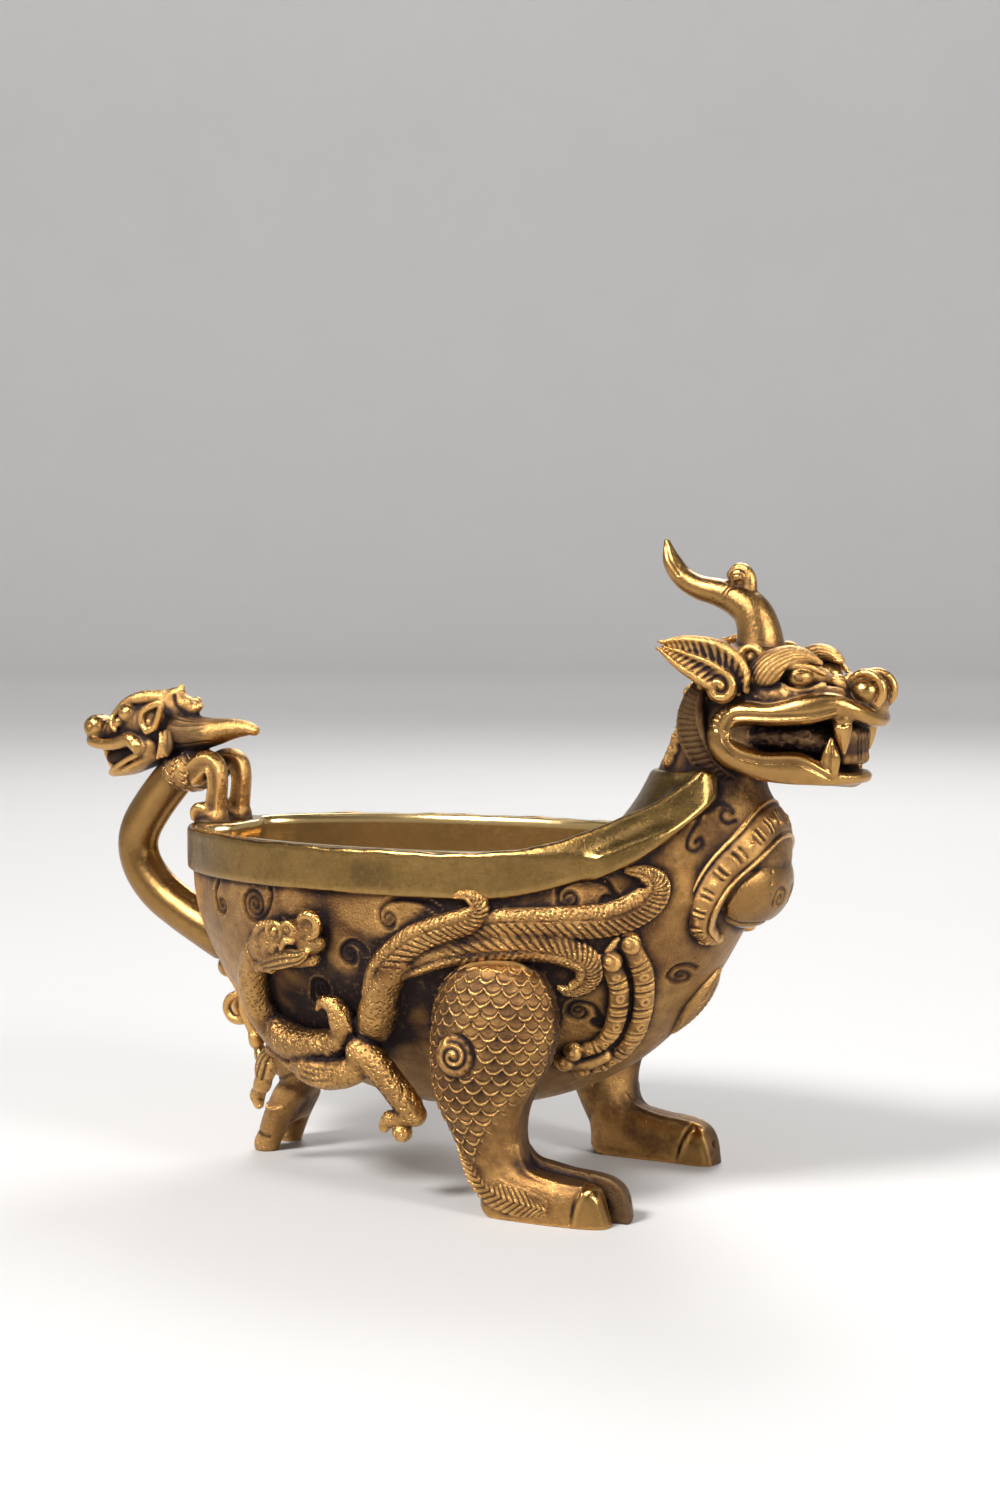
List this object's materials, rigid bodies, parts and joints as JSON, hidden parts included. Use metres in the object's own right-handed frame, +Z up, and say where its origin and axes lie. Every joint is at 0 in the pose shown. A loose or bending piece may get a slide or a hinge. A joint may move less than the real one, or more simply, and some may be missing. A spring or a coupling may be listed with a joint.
{
  "type": "tripod censer",
  "caption": "Gilt bronze incense burner: a boat-shaped cup cast as a horned beast on scaled legs, with a small dragon as its handle and dragons in relief on its flanks.",
  "frame": {"origin": "middle of the bounding box, on the plane the feet stand on", "axes": "+X is the beast's front, +Y its left flank, +Z up"},
  "size_m": [0.1706, 0.0772, 0.1222],
  "materials": {
    "chased_gilt": "chased and gilt, dark patina in the recesses",
    "polished_gilt": "smooth and polished by handling, satin"
  },
  "bodies": {
    "root": {"cup_shell": "chased_gilt", "rim_band": "polished_gilt", "neck": "chased_gilt", "skull": "chased_gilt", "lower_jaw": "chased_gilt", "throat_ruff": "chased_gilt", "horn": "polished_gilt", "ear_right": "chased_gilt", "ear_left": "chased_gilt", "breast_boss": "polished_gilt", "breast_ring": "chased_gilt", "breast_leaf": "chased_gilt", "front_leg_right": "chased_gilt", "front_leg_left": "chased_gilt", "rear_leg": "chased_gilt", "handle_stem": "polished_gilt", "handle_head": "chased_gilt", "handle_foreleg_right": "chased_gilt", "handle_foreleg_left": "chased_gilt", "flank_dragon_right": "chased_gilt", "flank_dragon_left": "chased_gilt", "strap_pair_right": "chased_gilt", "strap_pair_left": "chased_gilt", "tail_scroll": "chased_gilt"}
  },
  "joints": []
}
